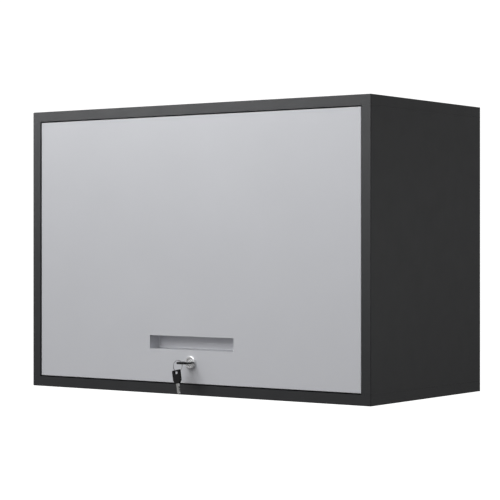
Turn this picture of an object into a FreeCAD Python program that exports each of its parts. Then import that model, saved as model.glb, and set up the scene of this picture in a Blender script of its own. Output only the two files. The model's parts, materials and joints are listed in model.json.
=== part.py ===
import FreeCAD, Part
import Sketcher
import math
import os

# Hanging wall cabinet of folded steel sheet with a lift-up flap door, a pull recess,
# a cam lock with its key, a spare key on a wire ring and a parallel-link stay at each side.
# Frame: millimetres, origin at the centre of the back (wall) face, +X right, +Y into the wall, +Z up.

V = FreeCAD.Vector
X_AXIS = V(1, 0, 0)
Y_AXIS = V(0, 1, 0)
Z_AXIS = V(0, 0, 1)

doc = FreeCAD.newDocument("wall_cabinet")
dim = doc.addObject("Spreadsheet::Sheet", "dim")

# name, value in mm, what it is
DRIVING = [
    ("width", 640, "overall width"),
    ("depth", 320, "overall depth"),
    ("height", 440, "overall height"),
    ("sheet", 1.2, "carcass sheet thickness"),
    ("edge_r", 1.0, "outer bend radius"),
    ("frame", 15.7, "face width of the front frame and of the tray edges"),
    ("lip", 14, "depth of the returned lip behind the frame face"),
    ("seam", 0.1, "gap between tray edge and side panel"),
    ("tongue", 12, "length of side panel tongue laid over by the side sheet"),
    ("rear_flange", 15, "width of the side panels' rear flange"),
    ("back_sheet", 1.0, "back panel thickness"),
    ("wall_hole_r", 4.25, "radius of a wall screw hole"),
    ("wall_hole_dx", 406.4, "wall screw hole spacing across"),
    ("wall_hole_dz", 340, "wall screw hole spacing up"),
    ("strip_w", 40, "fixing strip height"),
    ("strip_t", 3, "fixing strip thickness"),
    ("door_side_gap", 1.5, "gap between door and frame at each side"),
    ("door_top_gap", 1.6, "gap above the door"),
    ("door_low_gap", 1.6, "gap below the door"),
    ("door_set_back", 1.2, "door face behind the frame face"),
    ("door_sheet", 1.0, "door skin thickness"),
    ("pan_depth", 25, "depth of the door pan"),
    ("pan_flange", 10, "returned flange at the back of the door pan"),
    ("pivot_in", 5, "hinge pin axis behind the door face"),
    ("pivot_down", 11.7, "hinge pin axis below the door's top edge"),
    ("pin_r", 2.5, "hinge pin radius"),
    ("run_gap", 0.05, "radial clearance of a running fit"),
    ("pull_w", 159, "pull recess width"),
    ("pull_low", -152.3, "lower edge of the pull recess"),
    ("pull_top", -131.5, "upper edge of the pull recess"),
    ("pull_depth", 23.5, "depth of the pull recess"),
    ("lock_z", -170.5, "height of the lock axis"),
    ("bezel_r", 9.75, "lock bezel radius"),
    ("bezel_h", 2.8, "lock bezel height"),
    ("barrel_r", 8, "lock barrel radius"),
    ("barrel_l", 30, "lock barrel length behind the door face"),
    ("plug_r", 5.55, "lock plug radius"),
    ("cam_reach", 38, "length of the lock cam from the lock axis"),
    ("key_slot_w", 5.9, "keyway width"),
    ("key_slot_t", 2.4, "keyway thickness"),
    ("blade_w", 5.4, "key blade width"),
    ("blade_t", 2, "key blade thickness"),
    ("bow_w", 17.8, "key bow width"),
    ("bow_l", 20.2, "key bow length"),
    ("bow_t", 3, "key bow thickness"),
    ("bow_bar", 1.8, "plastic between the bow's end and its slot"),
    ("bow_slot_w", 8.6, "bow slot width"),
    ("bow_slot_l", 4.2, "bow slot length"),
    ("ring_r", 8.35, "key ring radius to the wire centre"),
    ("wire_r", 0.45, "key ring wire radius"),
    ("shelf_z", -10, "shelf top height"),
    ("shelf_depth", 230, "shelf depth"),
    ("shelf_edge", 18, "shelf's folded edge"),
    ("stay_x", 298, "inner face of the stay arm from the middle"),
    ("arm_t", 2.5, "stay arm and link thickness"),
    ("arm_w", 18, "stay arm width"),
    ("link_w", 15, "stay link width"),
    ("stud_back", 31, "door stud behind the hinge axis"),
    ("stud_down", 115, "door stud below the hinge axis"),
    ("stay_back", 72, "stay pivot behind the hinge axis"),
    ("stay_down", 28, "stay pivot below the hinge axis"),
]

# name, expression from the driving values, what it is
DERIVED = [
    ("half_w", "=width / 2", "half the overall width"),
    ("half_h", "=height / 2", "half the overall height"),
    ("lip_x", "=half_w - frame", "inner edge of the front frame, sideways"),
    ("lip_z", "=half_h - frame", "inner edge of the front frame, up and down"),
    ("wall_x", "=half_w - sheet", "inner face of the side panels"),
    ("floor_z", "=half_h - sheet", "inner face of the top and bottom trays"),
    ("door_x", "=lip_x - door_side_gap", "half the door's width"),
    ("door_top", "=lip_z - door_top_gap", "door's top edge"),
    ("door_low", "=door_low_gap - lip_z", "door's bottom edge"),
    ("door_front", "=door_set_back - depth", "y of the door face"),
    ("pan_back", "=door_front + pan_depth", "y of the back of the door pan"),
    ("liner_back", "=pan_back + door_sheet", "y of the back of the door liner"),
    ("pivot_y", "=door_front + pivot_in", "y of the hinge axis"),
    ("pivot_z", "=door_top - pivot_down", "z of the hinge axis"),
    ("arm_l", "=sqrt(stud_back ^ 2 + stud_down ^ 2)", "stay arm length between pivots"),
    ("link_l", "=sqrt(stay_back ^ 2 + stay_down ^ 2)", "stay link length between pivots"),
    ("stud_y", "=pivot_y + stud_back", "y of the door stud"),
    ("stud_z", "=pivot_z - stud_down", "z of the door stud"),
    ("stay_y", "=pivot_y + stay_back", "y of the stay pivot"),
    ("stay_z", "=pivot_z - stay_down", "z of the stay pivot"),
    ("knee_y", "=stud_y + stay_back", "y of the pin between arm and link"),
    ("knee_z", "=stud_z - stay_down", "z of the pin between arm and link"),
    ("link_x", "=stay_x - 0.3", "outer face of the stay link"),
    ("wing_x", "=link_x - arm_t - 0.3", "outer face of the door bracket's wing"),
    ("key_top", "=-bezel_h - 2", "start of the key bow from the door face"),
    ("key_end", "=key_top - bow_l", "outer end of the key bow from the door face"),
    ("plug_face", "=0.5 - bezel_h", "front of the lock plug from the door face"),
]

for row, (name, value, note) in enumerate(DRIVING + DERIVED, start=1):
    dim.set("A%d" % row, name.replace("_", " "))
    dim.set("B%d" % row, str(value))
    dim.set("C%d" % row, note)
    dim.setAlias("B%d" % row, name)
doc.recompute()

NAMES = sorted((n for n, _, _ in DRIVING + DERIVED), key=len, reverse=True)


def expr(text):
    """Turn an expression in plain dimension names into one that points at the sheet."""
    out = ""
    word = ""
    for ch in str(text) + " ":
        if ch.isalnum() or ch == "_":
            word += ch
            continue
        out += "dim." + word if word in NAMES else word
        out += ch
        word = ""
    return out.strip()


def value(text):
    """Number that an expression in dimension names comes to."""
    result = dim.evalExpression(expr(text))
    return float(getattr(result, "Value", result))


def bind(obj, prop, text):
    obj.setExpression(prop, expr(text))


def place(obj, x="0", y="0", z="0"):
    bind(obj, "Placement.Base.x", x)
    bind(obj, "Placement.Base.y", y)
    bind(obj, "Placement.Base.z", z)
    return obj


# ---------- PartDesign helpers ----------

NODES = {}


def new_body(name):
    made = doc.addObject("PartDesign::Body", name)
    made.Label = name
    NODES[name] = made
    return made


def new_sketch(owner, plane, offset="0"):
    """Sketch on one of the body's own planes; the offset runs along +Z, -Y or +X of that plane."""
    planes = {f.Role: f for f in owner.Origin.OriginFeatures}
    made = owner.newObject("Sketcher::SketchObject", owner.Name + "_sketch")
    made.AttachmentSupport = [(planes[plane], "")]
    made.MapMode = "FlatFace"
    bind(made, "AttachmentOffset.Base.z", offset)
    return made


def outline(drawn, points):
    """Closed outline through points given as pairs of expressions."""
    base = drawn.GeometryCount
    count = len(points)
    spots = [V(value(a), value(b), 0) for a, b in points]
    for i in range(count):
        drawn.addGeometry(Part.LineSegment(spots[i], spots[(i + 1) % count]), False)
    for i in range(count):
        drawn.addConstraint(Sketcher.Constraint("Coincident", base + i, 2, base + (i + 1) % count, 1))
    for i, (a, b) in enumerate(points):
        for kind, text, number in (("DistanceX", a, spots[i].x), ("DistanceY", b, spots[i].y)):
            index = drawn.addConstraint(Sketcher.Constraint(kind, -1, 1, base + i, 1, number))
            drawn.setExpression("Constraints[%d]" % index, expr(text))


def rectangle(drawn, left, right, low, top):
    outline(drawn, [(left, low), (right, low), (right, top), (left, top)])


def circle(drawn, x, y, radius):
    base = drawn.GeometryCount
    centre = V(value(x), value(y), 0)
    drawn.addGeometry(Part.Circle(centre, Z_AXIS, value(radius)), False)
    for kind, text, number in (("DistanceX", x, centre.x), ("DistanceY", y, centre.y)):
        index = drawn.addConstraint(Sketcher.Constraint(kind, -1, 1, base, 3, number))
        drawn.setExpression("Constraints[%d]" % index, expr(text))
    index = drawn.addConstraint(Sketcher.Constraint("Radius", base, value(radius)))
    drawn.setExpression("Constraints[%d]" % index, expr(radius))


def feature(owner, kind, drawn, length, midplane=False, reverse=False):
    made = owner.newObject("PartDesign::" + kind, owner.Name + "_" + kind.lower())
    made.Profile = drawn
    made.Midplane = midplane
    made.Reversed = reverse
    bind(made, "Length", length)
    drawn.Visibility = False
    doc.recompute()
    return made


def pad(owner, drawn, length, midplane=False, reverse=False):
    before = owner.Shape.Volume if owner.Tip else 0.0
    made = feature(owner, "Pad", drawn, length, midplane, reverse)
    if owner.Shape.Volume <= before:
        raise ValueError(owner.Label + ": pad adds nothing")
    return made


def cut(owner, drawn, length, midplane=False, reverse=False):
    before = owner.Shape.Volume
    made = feature(owner, "Pocket", drawn, length, midplane, reverse)
    if owner.Shape.Volume >= before:
        raise ValueError(owner.Label + ": pocket cuts nothing")
    return made


def edges_where(owner, test):
    """Names of the tip's straight edges whose middle and direction pass the test."""
    found = []
    for i, edge in enumerate(owner.Tip.Shape.Edges, start=1):
        if edge.Curve.TypeId != "Part::GeomLine":
            continue
        a = edge.Vertexes[0].Point
        b = edge.Vertexes[-1].Point
        run = (b - a).normalize()
        if test((a + b) * 0.5, V(abs(run.x), abs(run.y), abs(run.z))):
            found.append("Edge%d" % i)
    if not found:
        raise ValueError(owner.Label + ": no edge to dress")
    return found


def fillet(owner, radius, test, kind="Fillet"):
    names = edges_where(owner, test)
    base = owner.Tip
    made = owner.newObject("PartDesign::" + kind, owner.Name + "_" + kind.lower())
    made.Base = (base, names)
    bind(made, "Radius" if kind == "Fillet" else "Size", radius)
    doc.recompute()
    return made


def near(a, b):
    return abs(a - b) < 0.01


def dress_rims(owner, kind, size, test):
    """Chamfer or fillet on the tip's closed round edges whose centre passes the test."""
    base = owner.Tip
    names = ["Edge%d" % i for i, e in enumerate(base.Shape.Edges, start=1) if e.Closed and test(e.CenterOfMass)]
    made = owner.newObject("PartDesign::" + kind, owner.Name + "_" + kind.lower())
    made.Base = (base, names)
    bind(made, "Radius" if kind == "Fillet" else "Size", size)
    doc.recompute()
    return made


# ---------- Part helpers ----------

def make(kind, name, **sizes):
    made = doc.addObject("Part::" + kind, name)
    for prop, text in sizes.items():
        bind(made, prop, text)
    return made


def rod(name, radius, start, length, axis="x", at=("0", "0")):
    """Cylinder along x or y from start, its centre line at the other two coordinates."""
    made = make("Cylinder", name, Radius=radius, Height=length)
    if axis == "x":
        made.Placement.Rotation = FreeCAD.Rotation(Y_AXIS, 90)
        return place(made, start, at[0], at[1])
    made.Placement.Rotation = FreeCAD.Rotation(X_AXIS, -90)
    return place(made, at[0], start, at[1])


def block(name, x, y, z):
    """Box between two coordinates on each axis."""
    made = make("Box", name, Length="%s - (%s)" % (x[1], x[0]), Width="%s - (%s)" % (y[1], y[0]),
                Height="%s - (%s)" % (z[1], z[0]))
    return place(made, x[0], y[0], z[0])


def fuse(name, *parts):
    made = doc.addObject("Part::MultiFuse", name)
    made.Shapes = list(parts)
    return made


def minus(name, base, tool):
    made = doc.addObject("Part::Cut", name)
    made.Base = base
    made.Tool = tool
    return made


def node(name, obj):
    obj.Label = name
    NODES[name] = obj
    return obj


def group(name, parts):
    made = doc.addObject("Part::Compound", name)
    made.Links = list(parts)
    return node(name, made)


SIDES = (("left", -1), ("right", 1))


def mirrored(sign, text):
    return text if sign > 0 else "-(%s)" % text


# ---------- carcass ----------

def make_tray(name, turned):
    """Shallow pan that closes the box; its edge hangs over the side panels, with a lip behind the front."""
    tray = new_body(name)
    outer = new_sketch(tray, "XY_Plane")
    rectangle(outer, "-half_w", "half_w", "-depth", "-back_sheet")
    pad(tray, outer, "frame", reverse=True)
    inner = new_sketch(tray, "XY_Plane", "-frame")
    rectangle(inner, "-wall_x", "wall_x", "sheet - depth", "-back_sheet - sheet")
    cut(tray, inner, "frame - sheet", reverse=True)
    lip = new_sketch(tray, "XY_Plane", "-frame")
    rectangle(lip, "-wall_x", "wall_x", "-depth + sheet / 2", "lip - depth")
    pad(tray, lip, "sheet")
    front = -value("depth")
    side = value("half_w")
    rim = -value("back_sheet")
    fillet(tray, "edge_r", lambda m, d: not near(m.y, rim) and (near(abs(m.x), side) or near(m.y, front))
           and (near(m.z, 0) or (d.z > 0.99 and near(m.y, front))))
    if turned:
        tray.Placement.Rotation = FreeCAD.Rotation(Y_AXIS, 180)
    place(tray, z="-half_h" if turned else "half_h")


make_tray("top_tray", False)
make_tray("bottom_tray", True)


def make_side(name, sign):
    """Side sheet folded into the front stile with its lip, and into a rear flange; tongues enter the trays."""
    panel = new_body(name)
    profile = new_sketch(panel, "XY_Plane")
    path = [
        ("half_w", "-depth"),
        ("half_w", "-back_sheet"),
        ("half_w - rear_flange", "-back_sheet"),
        ("half_w - rear_flange", "-back_sheet - sheet"),
        ("wall_x", "-back_sheet - sheet"),
        ("wall_x", "sheet - depth"),
        ("lip_x + sheet", "sheet - depth"),
        ("lip_x + sheet", "lip - depth"),
        ("lip_x", "lip - depth"),
        ("lip_x", "-depth"),
    ]
    outline(profile, [(mirrored(sign, a), b) for a, b in path])
    pad(panel, profile, "2 * (lip_z - seam)", midplane=True)
    tongues = new_sketch(panel, "YZ_Plane", mirrored(sign, "wall_x - sheet / 2"))
    rectangle(tongues, "20 - depth", "-20", "lip_z - tongue", "floor_z - 0.2")
    rectangle(tongues, "20 - depth", "-20", "0.2 - floor_z", "tongue - lip_z")
    pad(panel, tongues, "sheet", midplane=True)
    pin_hole = new_sketch(panel, "YZ_Plane", mirrored(sign, "lip_x + sheet / 2"))
    circle(pin_hole, "pivot_y", "pivot_z", "pin_r")
    cut(panel, pin_hole, "3", midplane=True)
    front = -value("depth")
    edge = value("half_w")
    fillet(panel, "edge_r", lambda m, d: d.z > 0.99 and near(m.y, front) and near(abs(m.x), edge))


for side, sign in SIDES:
    make_side("side_panel_" + side, sign)

back = new_body("back_panel")
back_face = new_sketch(back, "XZ_Plane")
rectangle(back_face, "-half_w", "half_w", "-half_h", "half_h")
for sx in ("", "-"):
    for sz in ("", "-"):
        circle(back_face, sx + "wall_hole_dx / 2", sz + "wall_hole_dz / 2", "wall_hole_r")
pad(back, back_face, "back_sheet")

for name, level in (("fixing_strip_upper", "wall_hole_dz / 2"), ("fixing_strip_lower", "-wall_hole_dz / 2")):
    strip = new_body(name)
    strip_face = new_sketch(strip, "XZ_Plane", "back_sheet")
    rectangle(strip_face, "40 - half_w", "half_w - 40", "-strip_w / 2", "strip_w / 2")
    for sx in ("", "-"):
        circle(strip_face, sx + "wall_hole_dx / 2", "0", "wall_hole_r")
    pad(strip, strip_face, "strip_t")
    fillet(strip, "6", lambda m, d: d.y > 0.99)
    place(strip, z=level)

shelf = new_body("shelf")
shelf_top = new_sketch(shelf, "XY_Plane")
rectangle(shelf_top, "1 - wall_x", "wall_x - 1", "-5 - shelf_depth", "-5")
pad(shelf, shelf_top, "shelf_edge", reverse=True)
shelf_under = new_sketch(shelf, "XY_Plane", "-shelf_edge")
rectangle(shelf_under, "2 - wall_x", "wall_x - 2", "-4 - shelf_depth", "-6")
cut(shelf, shelf_under, "shelf_edge - 1", reverse=True)
hem = new_sketch(shelf, "XY_Plane", "-shelf_edge")
rectangle(hem, "2 - wall_x", "wall_x - 2", "-4.5 - shelf_depth", "8 - shelf_depth")
pad(shelf, hem, "1")
shelf_front = -5 - value("shelf_depth")
fillet(shelf, "0.9", lambda m, d: d.x > 0.99 and near(m.y, shelf_front))
place(shelf, z="shelf_z")

brackets = []
for side, sign in SIDES:
    for n, y in enumerate(("-60", "-190")):
        x_wall = ("wall_x - 1.5", "wall_x") if sign > 0 else ("-wall_x", "1.5 - wall_x")
        x_ledge = ("wall_x - 16", "wall_x") if sign > 0 else ("-wall_x", "16 - wall_x")
        tag = "%s_%d" % (side, n)
        y_span = (y + " - 14", y + " + 14")
        upright = block("shelf_upright_" + tag, x_wall, y_span,
                        ("shelf_z - shelf_edge - 22", "shelf_z - shelf_edge"))
        ledge = block("shelf_ledge_" + tag, x_ledge, y_span,
                      ("shelf_z - shelf_edge - 1.5", "shelf_z - shelf_edge"))
        brackets.append(fuse("shelf_bracket_" + tag, upright, ledge))
group("shelf_brackets", brackets)

# ---------- hinge ----------

for side, sign in SIDES:
    holder = new_body("hinge_block_" + side)
    holder_face = new_sketch(holder, "YZ_Plane", mirrored(sign, "(lip_x + sheet + wall_x - 1.8) / 2"))
    rectangle(holder_face, "sheet - depth", "lip - depth - 0.5", "pivot_z - 12", "pivot_z + 12")
    circle(holder_face, "pivot_y", "pivot_z", "pin_r")
    pad(holder, holder_face, "wall_x - 1.8 - lip_x - sheet", midplane=True)
    fillet(holder, "1.5", lambda m, d: d.x > 0.99 and m.y > value("pivot_y"))

    pin = new_body("hinge_pin_" + side)
    pin_face = new_sketch(pin, "YZ_Plane", mirrored(sign, "lip_x + 0.7"))
    circle(pin_face, "pivot_y", "pivot_z", "pin_r")
    pad(pin, pin_face, "24", midplane=True)
    dress_rims(pin, "Chamfer", "0.6", lambda c: True)

    bearing = new_body("door_pivot_block_" + side)
    bearing_face = new_sketch(bearing, "YZ_Plane", mirrored(sign, "door_x - door_sheet - 6"))
    rectangle(bearing_face, "door_front + door_sheet", "pivot_y + 8", "pivot_z - 12", "door_top - door_sheet")
    circle(bearing_face, "pivot_y", "pivot_z", "pin_r + run_gap")
    pad(bearing, bearing_face, "12", midplane=True)
    fillet(bearing, "2", lambda m, d: d.x > 0.99 and m.y > value("pivot_y") and m.z < value("pivot_z"))

# ---------- door ----------

skin = new_body("door_skin")
pan = new_sketch(skin, "XZ_Plane", "-pan_back")
rectangle(pan, "-door_x", "door_x", "door_low", "door_top")
pad(skin, pan, "pan_depth")
mouth = new_sketch(skin, "XZ_Plane", "-pan_back")
rectangle(mouth, "pan_flange - door_x", "door_x - pan_flange", "door_low + pan_flange", "door_top - pan_flange")
cut(skin, mouth, "pan_depth - door_sheet", reverse=True)
hollow = new_sketch(skin, "XZ_Plane", "door_sheet - pan_back")
rectangle(hollow, "door_sheet - door_x", "door_x - door_sheet", "door_low + door_sheet", "door_top - door_sheet")
cut(skin, hollow, "pan_depth - 2 * door_sheet", reverse=True)
openings = new_sketch(skin, "XZ_Plane", "1 - door_front")
rectangle(openings, "-pull_w / 2", "pull_w / 2", "pull_low", "pull_top")
circle(openings, "0", "lock_z", "barrel_r")
cut(skin, openings, "3")
pin_way = new_sketch(skin, "YZ_Plane")
circle(pin_way, "pivot_y", "pivot_z", "pin_r + 0.6")
cut(skin, pin_way, "width", midplane=True)
door_face = value("door_front")
fillet(skin, "0.8", lambda m, d: near(m.y, door_face) and
       (near(abs(m.x), value("door_x")) or near(m.z, value("door_top")) or near(m.z, value("door_low"))))

SCREWS = [("-door_x + 5.8", "150"), ("-door_x + 5.8", "0"), ("-door_x + 5.8", "-150"),
          ("door_x - 5.8", "150"), ("door_x - 5.8", "0"), ("door_x - 5.8", "-150"),
          ("-150", "door_top - 5.8"), ("150", "door_top - 5.8"),
          ("-150", "door_low + 5.8"), ("150", "door_low + 5.8")]
BRACKET_SCREWS = [(s, z) for s in (-1, 1) for z in ("stud_z - 11", "stud_z + 11")]

liner = new_body("door_liner")
liner_face = new_sketch(liner, "XZ_Plane", "-liner_back")
rectangle(liner_face, "1.5 - door_x", "door_x - 1.5", "door_low + 1.5", "door_top - 1.5")
circle(liner_face, "0", "lock_z", "barrel_r + 0.5")
for x, z in SCREWS:
    circle(liner_face, x, z, "1.6")
for s, z in BRACKET_SCREWS:
    circle(liner_face, mirrored(s, "wing_x - 11"), z, "2")
pad(liner, liner_face, "door_sheet")
fillet(liner, "3", lambda m, d: d.y > 0.99 and abs(m.x) > 280)

flange_holes = new_sketch(skin, "XZ_Plane", "-pan_back - 1")
for x, z in SCREWS:
    circle(flange_holes, x, z, "1.6")
cut(skin, flange_holes, "3", reverse=True)

cup = new_body("pull_cup")
cup_back = new_sketch(cup, "XZ_Plane", "-door_front - pull_depth - door_sheet")
rectangle(cup_back, "-pull_w / 2 - 1", "pull_w / 2 + 1", "pull_low - 1", "pull_top + 1")
pad(cup, cup_back, "pull_depth")
cup_rim = new_sketch(cup, "XZ_Plane", "-door_front - 2 * door_sheet")
rectangle(cup_rim, "-pull_w / 2 - 6", "pull_w / 2 + 6", "pull_low - 5", "pull_top + 6")
pad(cup, cup_rim, "door_sheet")
cup_hollow = new_sketch(cup, "XZ_Plane", "-door_front - door_sheet")
rectangle(cup_hollow, "-pull_w / 2", "pull_w / 2", "pull_low", "pull_top")
cut(cup, cup_hollow, "pull_depth - door_sheet")
cup_floor = value("door_front + pull_depth")
fillet(cup, "2.5", lambda m, d: near(m.y, cup_floor))

heads = []
for n, (x, z) in enumerate(SCREWS):
    head = rod("liner_head_%d" % n, "3.2", "liner_back", "1.8", "y", (x, z))
    shank = rod("liner_shank_%d" % n, "1.6", "liner_back - 7", "7", "y", (x, z))
    heads.append(fuse("liner_screw_%d" % n, head, shank))
group("liner_screws", heads)

# ---------- lock ----------


def revolve(owner, points):
    """Turned solid about the body's own y axis from pairs of radius and y."""
    drawn = new_sketch(owner, "XY_Plane")
    outline(drawn, points)
    made = owner.newObject("PartDesign::Revolution", owner.Name + "_revolution")
    made.Profile = drawn
    made.ReferenceAxis = (drawn, ["V_Axis"])
    made.Angle = 360
    drawn.Visibility = False
    doc.recompute()
    return made


def at_lock(obj):
    return place(obj, "0", "door_front", "lock_z")


housing = new_body("lock_housing")
revolve(housing, [("plug_r + run_gap", "-bezel_h + 0.4"), ("plug_r + 0.6", "-bezel_h"),
                  ("bezel_r - 1.2", "-bezel_h"), ("bezel_r - 0.3", "-bezel_h + 0.5"),
                  ("bezel_r", "-bezel_h + 1.4"), ("bezel_r", "0"), ("barrel_r", "0"),
                  ("barrel_r", "barrel_l"), ("plug_r + run_gap", "barrel_l")])
at_lock(housing)

nut = make("Prism", "lock_nut_blank", Circumradius="10.9", Height="4")
nut.Polygon = 6
nut.Placement.Rotation = FreeCAD.Rotation(X_AXIS, -90)
place(nut, "0", "door_front + door_sheet", "lock_z")
nut_bore = rod("lock_nut_bore", "barrel_r", "door_front", "6", "y", ("0", "lock_z"))
node("lock_nut", minus("lock_nut_cut", nut, nut_bore))

plug = new_body("lock_plug")
revolve(plug, [("0", "plug_face"), ("plug_r - 0.4", "plug_face"), ("plug_r", "plug_face + 0.4"),
               ("plug_r", "barrel_l + 0.3"), ("0", "barrel_l + 0.3")])
tail = new_sketch(plug, "XZ_Plane", "-barrel_l - 3.3")
rectangle(tail, "-3.5", "3.5", "-3.5", "3.5")
pad(plug, tail, "3.3")
keyway = new_sketch(plug, "XZ_Plane", "3")
rectangle(keyway, "-key_slot_w / 2", "key_slot_w / 2", "-key_slot_t / 2", "key_slot_t / 2")
cut(plug, keyway, "25")
screw_bore = new_sketch(plug, "XZ_Plane", "-barrel_l - 4")
circle(screw_bore, "0", "0", "2")
cut(plug, screw_bore, "8", reverse=True)
at_lock(plug)

cam = new_body("lock_cam")
cam_face = new_sketch(cam, "XZ_Plane", "-barrel_l - 3")
rectangle(cam_face, "-9", "cam_reach", "-9", "9")
rectangle(cam_face, "-3.5", "3.5", "-3.5", "3.5")
pad(cam, cam_face, "2.5")
fillet(cam, "8.9", lambda m, d: d.y > 0.99 and abs(m.z) > 8.9 and m.x < 0)
fillet(cam, "4", lambda m, d: d.y > 0.99 and m.x > 20)
at_lock(cam)

cam_screw = new_body("cam_screw")
revolve(cam_screw, [("0", "26"), ("2", "26"), ("2", "33.3"), ("5", "33.3"), ("5", "34.6"),
                    ("4.2", "35.6"), ("0", "35.8")])
cross = new_sketch(cam_screw, "XZ_Plane", "-37")
outline(cross, [("-0.5", "-3"), ("0.5", "-3"), ("0.5", "-0.5"), ("3", "-0.5"), ("3", "0.5"), ("0.5", "0.5"),
                ("0.5", "3"), ("-0.5", "3"), ("-0.5", "0.5"), ("-3", "0.5"), ("-3", "-0.5"), ("-0.5", "-0.5")])
cut(cam_screw, cross, "2.5", reverse=True)
at_lock(cam_screw)

keeper = new_body("lock_keeper")
keeper_side = new_sketch(keeper, "YZ_Plane")
outline(keeper_side, [("liner_back + 1.3", "-floor_z"), ("liner_back + 28", "-floor_z"),
                      ("liner_back + 28", "1.5 - floor_z"), ("liner_back + 3.3", "1.5 - floor_z"),
                      ("liner_back + 3.3", "lock_z - 24.5"), ("liner_back + 1.3", "lock_z - 24.5")])
pad(keeper, keeper_side, "50", midplane=True)
fillet(keeper, "4", lambda m, d: (d.y > 0.99 and m.z > value("lock_z - 25"))
       or (d.z > 0.99 and near(m.y, value("liner_back + 28"))))

# ---------- keys ----------

BITS = (1.2, 0.6, 1.5, 0.9, 0.4)


def make_key(prefix):
    """Key in its own frame: blade along +y, flat in the xy plane, y measured from the door face."""
    blade = new_body(prefix + "_blade")
    flat = new_sketch(blade, "XY_Plane")
    points = [("-blade_w / 2", "key_top - 6"), ("blade_w / 2", "key_top - 6"), ("blade_w / 2", "plug_face + 2")]
    for n, bite in enumerate(BITS):
        start = 1 + 2 * n
        points.append(("blade_w / 2 - %s" % bite, "%s" % start))
        points.append(("blade_w / 2 - %s" % (bite * 0.2), "%s" % (start + 1.1)))
    points += [("blade_w / 2 - 2.4", "11"), ("0", "12"), ("-blade_w / 2 + 1.8", "11"), ("-blade_w / 2", "9")]
    outline(flat, points)
    pad(blade, flat, "blade_t", midplane=True)
    groove = new_sketch(blade, "XY_Plane", "blade_t / 2 + 1")
    rectangle(groove, "-1.6", "-0.6", "plug_face - 2", "9.5")
    cut(blade, groove, "1.6")

    bow = new_body(prefix + "_bow")
    shape = new_sketch(bow, "XY_Plane")
    outline(shape, [("-4.5", "key_top"), ("-bow_w / 2", "key_top - 4.8"), ("-bow_w / 2", "key_end"),
                    ("bow_w / 2", "key_end"), ("bow_w / 2", "key_top - 4.8"), ("4.5", "key_top")])
    pad(bow, shape, "bow_t", midplane=True)
    socket = new_sketch(bow, "XZ_Plane", "-key_top - 1")
    rectangle(socket, "-blade_w / 2", "blade_w / 2", "-blade_t / 2", "blade_t / 2")
    cut(bow, socket, "7", reverse=True)
    slot = new_sketch(bow, "XY_Plane")
    rectangle(slot, "-bow_slot_w / 2", "bow_slot_w / 2", "key_end + bow_bar", "key_end + bow_bar + bow_slot_l")
    cut(bow, slot, "10", midplane=True)
    half = value("bow_w / 2")
    end = value("key_end")
    fillet(bow, "1.7", lambda m, d: d.z > 0.99 and near(abs(m.x), half) and near(m.y, end))
    fillet(bow, "2", lambda m, d: d.z > 0.99 and near(abs(m.x), half) and m.y > end + 4)
    fillet(bow, "1.1", lambda m, d: d.z > 0.99 and near(abs(m.x), value("bow_slot_w / 2")))
    return blade, bow


for made in make_key("key"):
    at_lock(made)

# The ring hangs through the bow's slot with its plane turned a little from the lock axis. Its top bears
# on the inner edge of the bow's end bar, and the slot's far edge keeps it from swinging further back.
YAW = 15
RING_X = -3.18
RING_Y = value("door_front + key_end + bow_bar") - 5.02
RING_Z = value("lock_z + bow_t / 2") - 5.42
yawed = FreeCAD.Rotation(Z_AXIS, -YAW)
ring = make("Torus", "key_ring", Radius1="ring_r", Radius2="wire_r")
ring.Placement = FreeCAD.Placement(V(RING_X, RING_Y, RING_Z), yawed.multiply(FreeCAD.Rotation(Y_AXIS, 90)))
node("key_ring", ring)

# The spare key hangs on the ring by the right end of its slot, so it leans with its tip to the right.
LEAN = 11.4
hang_point = V(RING_X, RING_Y, RING_Z - value("ring_r"))
wire_in_key = V(3.3, value("key_end + bow_bar + wire_r") + 0.45, 0)
leaning = FreeCAD.Rotation(Y_AXIS, -LEAN).multiply(FreeCAD.Rotation(X_AXIS, -90))
turn = yawed.multiply(leaning)
for made in make_key("spare_key"):
    made.Placement = FreeCAD.Placement(hang_point - turn.multVec(wire_in_key), turn)

# ---------- door stops ----------

for side, sign in SIDES:
    stop = new_body("door_stop_" + side)
    stop_side = new_sketch(stop, "YZ_Plane", mirrored(sign, "220"))
    outline(stop_side, [("liner_back + 4", "-floor_z"), ("liner_back + 24", "-floor_z"),
                        ("liner_back + 24", "1.5 - floor_z"), ("liner_back + 5.5", "1.5 - floor_z"),
                        ("liner_back + 5.5", "door_low + 16"), ("liner_back + 4", "door_low + 16")])
    pad(stop, stop_side, "22", midplane=True)
    fillet(stop, "4", lambda m, d: d.y > 0.99 and m.z > value("door_low + 15"))
    bumper = new_body("door_bumper_" + side)
    bumper_face = new_sketch(bumper, "XZ_Plane", "-liner_back - 4")
    circle(bumper_face, mirrored(sign, "220"), "door_low + 7", "5")
    pad(bumper, bumper_face, "3.8")
    face = value("liner_back + 0.2")
    dress_rims(bumper, "Fillet", "1.6", lambda c: near(c.y, face))

# ---------- lid stays ----------

studs = []
nuts = []
washers = []
clips = []
bracket_screws = []

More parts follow.
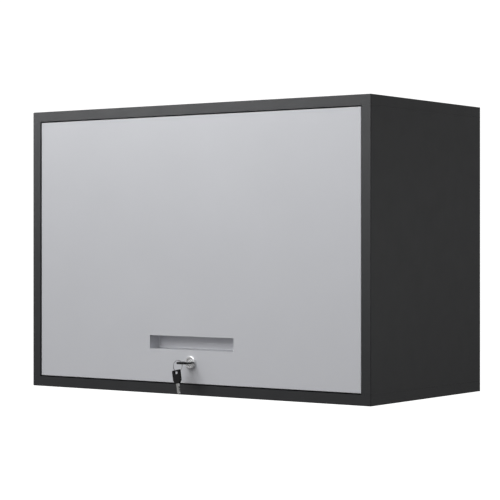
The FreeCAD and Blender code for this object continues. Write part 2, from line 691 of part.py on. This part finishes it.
for side, sign in SIDES:
    hat = new_body("stay_housing_" + side)
    hat_path = new_sketch(hat, "XY_Plane")
    crown = "stay_x + arm_t + 1"
    path = [
        ("wall_x", "stay_y - 38"), ("wall_x - 1.5", "stay_y - 38"), ("wall_x - 1.5", "stay_y - 26"),
        (crown, "stay_y - 26"), (crown, "stay_y + 26"), ("wall_x - 1.5", "stay_y + 26"),
        ("wall_x - 1.5", "stay_y + 38"), ("wall_x", "stay_y + 38"), ("wall_x", "stay_y + 24.5"),
        (crown + " + 1.5", "stay_y + 24.5"), (crown + " + 1.5", "stay_y - 24.5"), ("wall_x", "stay_y - 24.5"),
    ]
    outline(hat_path, [(mirrored(sign, a), b) for a, b in path])
    pad(hat, hat_path, "52", midplane=True)
    hat_hole = new_sketch(hat, "YZ_Plane", mirrored(sign, crown + " + 0.75"))
    circle(hat_hole, "stay_y", "0", "4")
    cut(hat, hat_hole, "3", midplane=True)
    fillet(hat, "1.4", lambda m, d: d.z > 0.99 and near(abs(m.x), value(crown)))
    place(hat, z="stay_z")

    arm = new_body("stay_arm_" + side)
    arm_face = new_sketch(arm, "YZ_Plane", mirrored(sign, "stay_x + arm_t / 2"))
    rectangle(arm_face, "-arm_w / 2", "arm_w / 2", "-arm_l - arm_w / 2", "arm_w / 2")
    circle(arm_face, "0", "0", "4 + run_gap")
    circle(arm_face, "0", "-arm_l", "3")
    pad(arm, arm_face, "arm_t", midplane=True)
    fillet(arm, "arm_w / 2 - 0.1", lambda m, d: d.x > 0.99)
    arm.Placement.Rotation = FreeCAD.Rotation(X_AXIS, 15)
    bind(arm, "Placement.Rotation.Angle", "atan(stud_back / stud_down)")
    place(arm, "0", "stay_y", "stay_z")

    link = new_body("stay_link_" + side)
    link_face = new_sketch(link, "YZ_Plane", mirrored(sign, "link_x - arm_t / 2"))
    rectangle(link_face, "-link_w / 2", "link_w / 2", "-link_l - link_w / 2", "link_w / 2")
    circle(link_face, "0", "0", "3 + run_gap")
    circle(link_face, "0", "-link_l", "3 + run_gap")
    pad(link, link_face, "arm_t", midplane=True)
    fillet(link, "link_w / 2 - 0.1", lambda m, d: d.x > 0.99)
    link.Placement.Rotation = FreeCAD.Rotation(X_AXIS, 60)
    bind(link, "Placement.Rotation.Angle", "atan(stay_back / stay_down)")
    place(link, "0", "stud_y", "stud_z")

    knee = ("knee_y", "knee_z")
    outer_head = "stay_x + arm_t" if sign > 0 else "-stay_x - arm_t - 1.5"
    inner_head = "wing_x - 1.6" if sign > 0 else "-wing_x + 0.1"
    shaft = "wing_x - 1" if sign > 0 else "-stay_x - arm_t - 1"
    node("stay_pin_" + side, fuse("knee_pin_" + side,
         rod("knee_head_%s" % side, "5.5", outer_head, "1.5", "x", knee),
         rod("knee_rivet_%s" % side, "5.5", inner_head, "1.5", "x", knee),
         rod("knee_shaft_%s" % side, "3", shaft, "stay_x + arm_t + 1 - wing_x + 1", "x", knee)))

    wing = new_body("stay_bracket_" + side)
    wing_plan = new_sketch(wing, "XY_Plane")
    plan = [("wing_x", "liner_back"), ("wing_x", "stud_y + 8"), ("wing_x - 2.2", "stud_y + 8"),
            ("wing_x - 2.2", "liner_back + 1.5"), ("wing_x - 19", "liner_back + 1.5"),
            ("wing_x - 19", "liner_back")]
    outline(wing_plan, [(mirrored(sign, a), b) for a, b in plan])
    pad(wing, wing_plan, "36", midplane=True)
    fillet(wing, "6", lambda m, d: d.x > 0.99 and m.y > value("stud_y"))
    wing_stud = new_sketch(wing, "YZ_Plane", mirrored(sign, "wing_x + 3"))
    circle(wing_stud, "stud_y", "0", "3")
    pad(wing, wing_stud, "8", midplane=True)
    wing_holes = new_sketch(wing, "XZ_Plane", "-liner_back - 3")
    for z in ("-11", "11"):
        circle(wing_holes, mirrored(sign, "wing_x - 11"), z, "2")
    cut(wing, wing_holes, "5", reverse=True)
    place(wing, z="stud_z")

    pivot = ("stay_y", "stay_z")
    stud_head = "stay_x + arm_t + 2.5" if sign > 0 else "-stay_x - arm_t - 5.5"
    stud_shaft = "stay_x - 8" if sign > 0 else "-stay_x - arm_t - 4"
    studs.append(fuse("stay_stud_" + side,
                      rod("stud_head_" + side, "7", stud_head, "3", "x", pivot),
                      rod("stud_shaft_" + side, "4", stud_shaft, "arm_t + 12", "x", pivot)))
    washer_x = "stay_x + arm_t" if sign > 0 else "-stay_x - arm_t - 1"
    washers.append(minus("washer_" + side, rod("washer_disc_" + side, "12", washer_x, "1", "x", pivot),
                         rod("washer_hole_" + side, "4", washer_x, "1", "x", pivot)))
    nut_x = "stay_x - 6.5" if sign > 0 else "-stay_x + 0.1"
    hexagon = make("Prism", "stay_hexagon_" + side, Circumradius="7.5", Height="6.4")
    hexagon.Polygon = 6
    hexagon.Placement.Rotation = FreeCAD.Rotation(Y_AXIS, 90)
    place(hexagon, nut_x, "stay_y", "stay_z")
    nuts.append(minus("stay_nut_" + side, hexagon, rod("nut_hole_" + side, "4", nut_x, "6.4", "x", pivot)))

    stud = ("stud_y", "stud_z")
    clip_x = "link_x + 0.3" if sign > 0 else "-link_x - 1.1"
    clips.append(minus("clip_" + side, rod("clip_disc_" + side, "5", clip_x, "0.8", "x", stud),
                       rod("clip_hole_" + side, "3", clip_x, "0.8", "x", stud)))
    for n, z in enumerate(("stud_z - 11", "stud_z + 11")):
        spot = (mirrored(sign, "wing_x - 11"), z)
        bracket_screws.append(fuse("bracket_screw_%s_%d" % (side, n),
                                   rod("bracket_head_%s_%d" % (side, n), "3.8", "liner_back + 1.5", "2.4", "y", spot),
                                   rod("bracket_shank_%s_%d" % (side, n), "2", "liner_back - 6", "7.5", "y", spot)))

group("stay_studs", studs)
group("friction_washers", washers)
group("stay_nuts", nuts)
group("stay_clips", clips)
group("bracket_screws", bracket_screws)

# ---------- check and write ----------

doc.recompute()
broken = ["%s %s" % (obj.Label, obj.State) for obj in doc.Objects
          if "Invalid" in obj.State or "Error" in obj.State]
if broken:
    raise ValueError("; ".join(broken))
os.makedirs("parts", exist_ok=True)
for name, obj in NODES.items():
    shape = obj.Shape
    if shape.isNull() or not shape.isValid() or not shape.Solids:
        raise ValueError(name + ": bad shape")
    shape.exportStep("parts/" + name + ".step")
    box = shape.BoundBox
    print("%-24s %d solid(s) %9.1f mm3  x %7.1f %7.1f  y %7.1f %7.1f  z %7.1f %7.1f" % (
        name, len(shape.Solids), shape.Volume, box.XMin, box.XMax, box.YMin, box.YMax, box.ZMin, box.ZMax))
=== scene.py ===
"""Look of the hanging wall cabinet: materials, fine pieces, studio and camera around the CAD frame."""
import json
import math

import bmesh
import bpy
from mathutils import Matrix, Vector


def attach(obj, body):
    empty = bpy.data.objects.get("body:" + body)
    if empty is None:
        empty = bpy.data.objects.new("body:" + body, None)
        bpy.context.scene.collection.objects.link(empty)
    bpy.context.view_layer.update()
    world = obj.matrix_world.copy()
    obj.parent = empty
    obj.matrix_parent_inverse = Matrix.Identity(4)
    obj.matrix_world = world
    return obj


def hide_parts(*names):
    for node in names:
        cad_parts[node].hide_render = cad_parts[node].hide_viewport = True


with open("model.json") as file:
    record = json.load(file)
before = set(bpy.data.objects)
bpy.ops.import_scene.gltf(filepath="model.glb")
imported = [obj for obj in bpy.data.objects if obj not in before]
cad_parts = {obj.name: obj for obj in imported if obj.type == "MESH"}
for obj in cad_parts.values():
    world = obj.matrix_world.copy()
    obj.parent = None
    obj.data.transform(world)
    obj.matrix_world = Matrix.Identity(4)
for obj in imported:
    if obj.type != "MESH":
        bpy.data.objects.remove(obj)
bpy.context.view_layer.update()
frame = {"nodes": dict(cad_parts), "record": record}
nodes = frame["nodes"]


# ---------- node helpers ----------

class Graph:
    """Small wrapper that adds nodes and links to a material or a world."""

    def __init__(self, tree):
        self.tree = tree

    def add(self, kind, inputs=None, **props):
        made = self.tree.nodes.new(kind)
        for prop, value in props.items():
            setattr(made, prop, value)
        for socket, value in (inputs or {}).items():
            if isinstance(value, bpy.types.NodeSocket):
                self.tree.links.new(value, made.inputs[socket])
            else:
                made.inputs[socket].default_value = value
        return made

    def noise(self, where, scale, detail=3.0, rough=0.5):
        return self.add("ShaderNodeTexNoise", {"Vector": where, "Scale": scale, "Detail": detail,
                                               "Roughness": rough}).outputs["Fac"]

    def ramp(self, fac, stops):
        made = self.add("ShaderNodeValToRGB", {"Fac": fac})
        ramp = made.color_ramp
        while len(ramp.elements) < len(stops):
            ramp.elements.new(0.5)
        for element, (at, colour) in zip(ramp.elements, stops):
            element.position = at
            element.color = (*colour, 1.0) if len(colour) == 3 else colour
        return made.outputs["Color"]

    def span(self, value, low, high, start=0.0, end=1.0):
        return self.add("ShaderNodeMapRange", {"Value": value, "From Min": start, "From Max": end,
                                               "To Min": low, "To Max": high}).outputs["Result"]

    def math(self, operation, a, b=0.0):
        return self.add("ShaderNodeMath", {0: a, 1: b}, operation=operation).outputs[0]

    def bump(self, height, strength, distance, normal=None):
        inputs = {"Height": height, "Strength": strength, "Distance": distance}
        if normal is not None:
            inputs["Normal"] = normal
        return self.add("ShaderNodeBump", inputs).outputs["Normal"]


def new_material(name):
    """Material with an empty graph, its object coordinates and its shader."""
    made = bpy.data.materials.new(name)
    made.use_nodes = True
    made.node_tree.nodes.clear()
    graph = Graph(made.node_tree)
    where = graph.add("ShaderNodeTexCoord").outputs["Object"]
    shader = graph.add("ShaderNodeBsdfPrincipled")
    out = graph.add("ShaderNodeOutputMaterial")
    made.node_tree.links.new(shader.outputs["BSDF"], out.inputs["Surface"])
    return made, graph, where, shader


def shade(colour, factor):
    return tuple(min(1.0, c * factor) for c in colour)


def link(graph, output, socket):
    graph.tree.links.new(output, socket)


# ---------- materials ----------

def powder_coat(name, colour, rough, grain, speckle, specular=0.5):
    """Baked powder paint: fine orange peel, faint cloudiness, and a little unevenness in gloss."""
    made, g, where, shader = new_material(name)
    cloud = g.noise(where, 9.0, 4.0)
    fleck = g.noise(where, 1700.0, 2.0, 0.7)
    mixed = g.math("ADD", g.math("MULTIPLY", cloud, 0.6), g.math("MULTIPLY", fleck, 0.4))
    tones = [(0.32, shade(colour, 1 - speckle)), (0.5, colour), (0.68, shade(colour, 1 + speckle))]
    link(g, g.ramp(mixed, tones), shader.inputs["Base Color"])
    gloss = g.noise(where, 28.0, 5.0, 0.6)
    link(g, g.span(gloss, rough - 0.03, rough + 0.03, 0.3, 0.7), shader.inputs["Roughness"])
    peel = g.bump(g.noise(where, 620.0, 2.0), grain, 0.00012)
    link(g, g.bump(fleck, grain * 0.6, 0.00004, peel), shader.inputs["Normal"])
    shader.inputs["Specular IOR Level"].default_value = specular
    return made


def bright_metal(name, colour, rough, streak, scratch):
    """Plated metal: directional polishing marks, fine scratches and slightly uneven gloss."""
    made, g, where, shader = new_material(name)
    stretched = g.add("ShaderNodeMapping", {"Vector": where, "Scale": streak}).outputs["Vector"]
    lines = g.noise(stretched, 1.0, 4.0, 0.6)
    tone = g.noise(where, 90.0, 3.0)
    tones = [(0.35, shade(colour, 0.96)), (0.65, shade(colour, 1.02))]
    link(g, g.ramp(tone, tones), shader.inputs["Base Color"])
    link(g, g.span(lines, rough * 0.88, rough * 1.15, 0.3, 0.7), shader.inputs["Roughness"])
    link(g, g.bump(lines, scratch, 0.00003), shader.inputs["Normal"])
    shader.inputs["Metallic"].default_value = 1.0
    return made


def moulded(name, colour, rough, grain, scale, specular=0.5):
    """Moulded plastic or rubber with a spark-eroded grain."""
    made, g, where, shader = new_material(name)
    texture = g.noise(where, scale, 3.0, 0.6)
    tones = [(0.3, shade(colour, 0.8)), (0.7, shade(colour, 1.25))]
    link(g, g.ramp(texture, tones), shader.inputs["Base Color"])
    gloss = g.noise(where, 60.0, 3.0)
    link(g, g.span(gloss, rough - 0.06, rough + 0.06, 0.3, 0.7), shader.inputs["Roughness"])
    link(g, g.bump(texture, grain, 0.00006), shader.inputs["Normal"])
    shader.inputs["Specular IOR Level"].default_value = specular
    return made


CASE_COLOUR = (0.0168, 0.0170, 0.0190)
DOOR_COLOUR = (0.668, 0.670, 0.700)
MATERIALS = {
    "case_paint": powder_coat("case_powder_coat", CASE_COLOUR, 0.42, 0.16, 0.05, 0.42),
    "door_paint": powder_coat("door_powder_coat", DOOR_COLOUR, 0.40, 0.14, 0.02),
    "zinc_steel": bright_metal("zinc_plated_steel", (0.60, 0.59, 0.56), 0.32, (60, 900, 900), 0.25),
    "chrome": bright_metal("satin_nickel_plating", (0.86, 0.86, 0.87), 0.27, (700, 40, 700), 0.04),
    "key_metal": bright_metal("nickel_key_metal", (0.60, 0.60, 0.59), 0.24, (900, 120, 900), 0.30),
    "black_plastic": moulded("black_moulded_plastic", (0.004, 0.004, 0.0045), 0.38, 0.30, 1400.0, 0.22),
    "rubber": moulded("black_rubber", (0.018, 0.018, 0.018), 0.75, 0.45, 900.0),
}

RING_WIRE = bright_metal("spring_steel_wire", (0.42, 0.42, 0.43), 0.42, (500, 500, 500), 0.15)

for part in frame["record"]["subparts"]:
    piece = nodes[part["node"]]
    finish = RING_WIRE if part["node"] == "key_ring" else MATERIALS[part["material_slot"]]
    piece.data.materials.clear()
    piece.data.materials.append(finish)


# ---------- softened edges on the CAD pieces ----------

EDGE_WIDTH = {
    "key_bow": 0.00055, "spare_key_bow": 0.00055, "key_blade": 0.00012, "spare_key_blade": 0.00012,
    "lock_plug": 0.00015, "pull_cup": 0.0002, "shelf_brackets": 0.0003,
    "stay_arm_left": 0.0004, "stay_arm_right": 0.0004, "stay_link_left": 0.0004, "stay_link_right": 0.0004,
    "stay_nuts": 0.0004, "lock_nut": 0.0004, "liner_screws": 0.0003, "bracket_screws": 0.0004,
    "stay_pin_left": 0.0004, "stay_pin_right": 0.0004, "lock_cam": 0.0003, "cam_screw": 0.0002,
}


def soften(piece, width):
    bevel = piece.modifiers.new("edge", "BEVEL")
    bevel.width = width
    bevel.segments = 3
    bevel.limit_method = "ANGLE"
    bevel.angle_limit = math.radians(35)
    bevel.harden_normals = False


for name, width in EDGE_WIDTH.items():
    soften(nodes[name], width)


# ---------- split ring in place of the plain key ring ----------

RING_CENTRE = Vector((-0.00318, -0.34702, -0.17442))
RING_YAW = math.radians(15)
RING_RADIUS = 0.00835
WIRE_HALF_WIDTH = 0.00040
WIRE_HALF_THICKNESS = 0.00020
TURN_OFFSET = 0.00022
CROSSING = 0.5         # angle over which the wire crosses from one turn to the other
CROSSING_SPARE = 0.02  # angle left between the crossing's end and the wire's start
WIRE_END_GAP = 0.03    # angle left between the wire's end and the crossing
WIRE_STEPS = 240
WIRE_SIDES = 12


def split_ring():
    """Nearly two turns of flat spring wire side by side, crossing over at the side away from the door."""
    axis = Vector((math.cos(RING_YAW), -math.sin(RING_YAW), 0))
    level = Vector((math.sin(RING_YAW), math.cos(RING_YAW), 0))
    one_turn = 2 * math.pi
    whole = 2 * one_turn - CROSSING - WIRE_END_GAP
    build = bmesh.new()
    rings = []
    for i in range(WIRE_STEPS + 1):
        angle = whole * i / WIRE_STEPS
        passed = min(1.0, max(0.0, (angle - (one_turn - CROSSING)) / (CROSSING - CROSSING_SPARE)))
        offset = TURN_OFFSET * (2 * passed * passed * (3 - 2 * passed) - 1)
        outward = math.cos(angle + math.pi) * level + math.sin(angle + math.pi) * Vector((0, 0, 1))
        ring = []
        for j in range(WIRE_SIDES):
            turn = one_turn * (j + 0.5) / WIRE_SIDES
            wide = math.copysign(abs(math.cos(turn)) ** 0.5, math.cos(turn)) * WIRE_HALF_WIDTH
            thick = math.copysign(abs(math.sin(turn)) ** 0.5, math.sin(turn)) * WIRE_HALF_THICKNESS
            spot = RING_CENTRE + outward * (RING_RADIUS + wide) + axis * (offset + thick)
            ring.append(build.verts.new(spot))
        rings.append(ring)
    for one, two in zip(rings, rings[1:]):
        for j in range(WIRE_SIDES):
            build.faces.new((one[j], one[j - 1], two[j - 1], two[j]))
    build.faces.new(rings[0])
    build.faces.new(reversed(rings[-1]))
    bmesh.ops.recalc_face_normals(build, faces=build.faces)
    mesh = bpy.data.meshes.new("split_ring")
    build.to_mesh(mesh)
    build.free()
    mesh.polygons.foreach_set("use_smooth", [True] * len(mesh.polygons))
    piece = bpy.data.objects.new("split_ring", mesh)
    bpy.context.scene.collection.objects.link(piece)
    mesh.materials.append(RING_WIRE)
    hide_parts("key_ring")
    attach(piece, "ring")


split_ring()


# ---------- studio ----------

FLOOR_Z = -2.6
LIGHT_COLOUR = (0.975, 0.99, 1.0)


def stage_floor():
    mesh = bpy.data.meshes.new("studio_floor")
    build = bmesh.new()
    bmesh.ops.create_circle(build, cap_ends=True, segments=96, radius=40.0)
    build.to_mesh(mesh)
    build.free()
    floor = bpy.data.objects.new("studio_floor", mesh)
    bpy.context.scene.collection.objects.link(floor)
    floor.location = (0, 0, FLOOR_Z)
    made, g, where, shader = new_material("pale_floor")
    link(g, g.ramp(g.noise(where, 3.0), [(0.3, (0.90, 0.90, 0.90)), (0.7, (0.94, 0.94, 0.94))]),
         shader.inputs["Base Color"])
    shader.inputs["Roughness"].default_value = 0.9
    shader.inputs["Specular IOR Level"].default_value = 0.0
    shader.inputs["Emission Color"].default_value = (1, 1, 1, 1)
    shader.inputs["Emission Strength"].default_value = 0.8
    mesh.materials.append(made)
    floor.visible_diffuse = False
    floor.visible_glossy = False


# height from straight down (0) to straight up (1), brightness
SKY = [(0.0, 0.20), (0.40, 0.07), (0.5, 0.56), (0.6, 0.42), (1.0, 0.43)]


def studio_world():
    """White behind the object. A dimmer sky lights it, brightest at the horizon, weaker from the right."""
    world = bpy.data.worlds.new("studio")
    bpy.context.scene.world = world
    world.use_nodes = True
    world.node_tree.nodes.clear()
    g = Graph(world.node_tree)
    direction = g.add("ShaderNodeSeparateXYZ",
                      {"Vector": g.add("ShaderNodeTexCoord").outputs["Generated"]}).outputs
    sky = g.ramp(g.span(direction["Z"], 0.0, 1.0, -1.0, 1.0),
                 [(height, (level,) * 3) for height, level in SKY])
    lit = g.add("ShaderNodeBackground", {"Color": sky, "Strength": g.span(direction["X"], 1.0, 0.35)})
    seen = g.add("ShaderNodeBackground", {"Color": (1, 1, 1, 1), "Strength": 1.1})
    camera_ray = g.add("ShaderNodeLightPath").outputs["Is Camera Ray"]
    mixed = g.add("ShaderNodeMixShader", {0: camera_ray, 1: lit.outputs[0], 2: seen.outputs[0]})
    g.add("ShaderNodeOutputWorld", {"Surface": mixed.outputs[0]})


def softbox(name, at, towards, size, power, diffuse=True, glossy=True):
    """Rectangular lamp, not seen itself, that can be kept out of either kind of reflection."""
    data = bpy.data.lights.new(name, "AREA")
    data.shape = "RECTANGLE"
    data.size, data.size_y = size
    data.energy = power
    data.color = LIGHT_COLOUR
    lamp = bpy.data.objects.new(name, data)
    bpy.context.scene.collection.objects.link(lamp)
    lamp.location = at
    lamp.rotation_mode = "QUATERNION"
    lamp.rotation_quaternion = (Vector(towards) - Vector(at)).to_track_quat("-Z", "Y")
    lamp.visible_camera = False
    lamp.visible_diffuse = diffuse
    lamp.visible_glossy = glossy


stage_floor()
studio_world()
softbox("key_softbox", (-1.5, -2.3, 3.1), (0.0, -0.3, 0.0), (1.2, 1.0), 40.0)
softbox("front_softbox", (-0.3, -2.6, 1.1), (0.0, -0.3, 0.0), (1.2, 1.0), 15.5)
softbox("top_softbox", (0.35, -1.1, 1.4), (0.0, -0.3, 0.0), (0.8, 0.5), 5.3)
softbox("side_softbox", (2.2, 0.9, -0.1), (0.3, -0.15, 0.0), (1.4, 1.0), 5.4)
softbox("rear_softbox", (-0.8, 2.6, 0.9), (0.0, 0.0, 0.0), (1.6, 1.2), 60.0, glossy=False)
softbox("rim_softbox", (-0.1, -0.24, 1.5), (0.0, -0.3, 0.0), (0.5, 0.35), 1.8)
softbox("sheen_softbox", (-1.4, -1.93, 0.62), (0.0, -0.3, 0.1), (1.2, 0.4), 16.5, diffuse=False)

# ---------- camera ----------

AZIMUTH = 35.70
CAMERA_AT = (1.6534, -2.4668, 0.0118)
LENS = 1794.4 * 36.0 / 500.0
SHIFT_Y = -8.33 / 500.0

camera_data = bpy.data.cameras.new("photo_camera")
camera_data.lens = LENS
camera_data.sensor_width = 36.0
camera_data.shift_y = SHIFT_Y
camera_data.clip_start = 0.05
camera_data.clip_end = 100.0
camera = bpy.data.objects.new("photo_camera", camera_data)
bpy.context.scene.collection.objects.link(camera)
camera.location = CAMERA_AT
camera.rotation_euler = (math.radians(90), 0, math.radians(AZIMUTH))
bpy.context.scene.camera = camera
bpy.context.scene.view_settings.view_transform = "Standard"
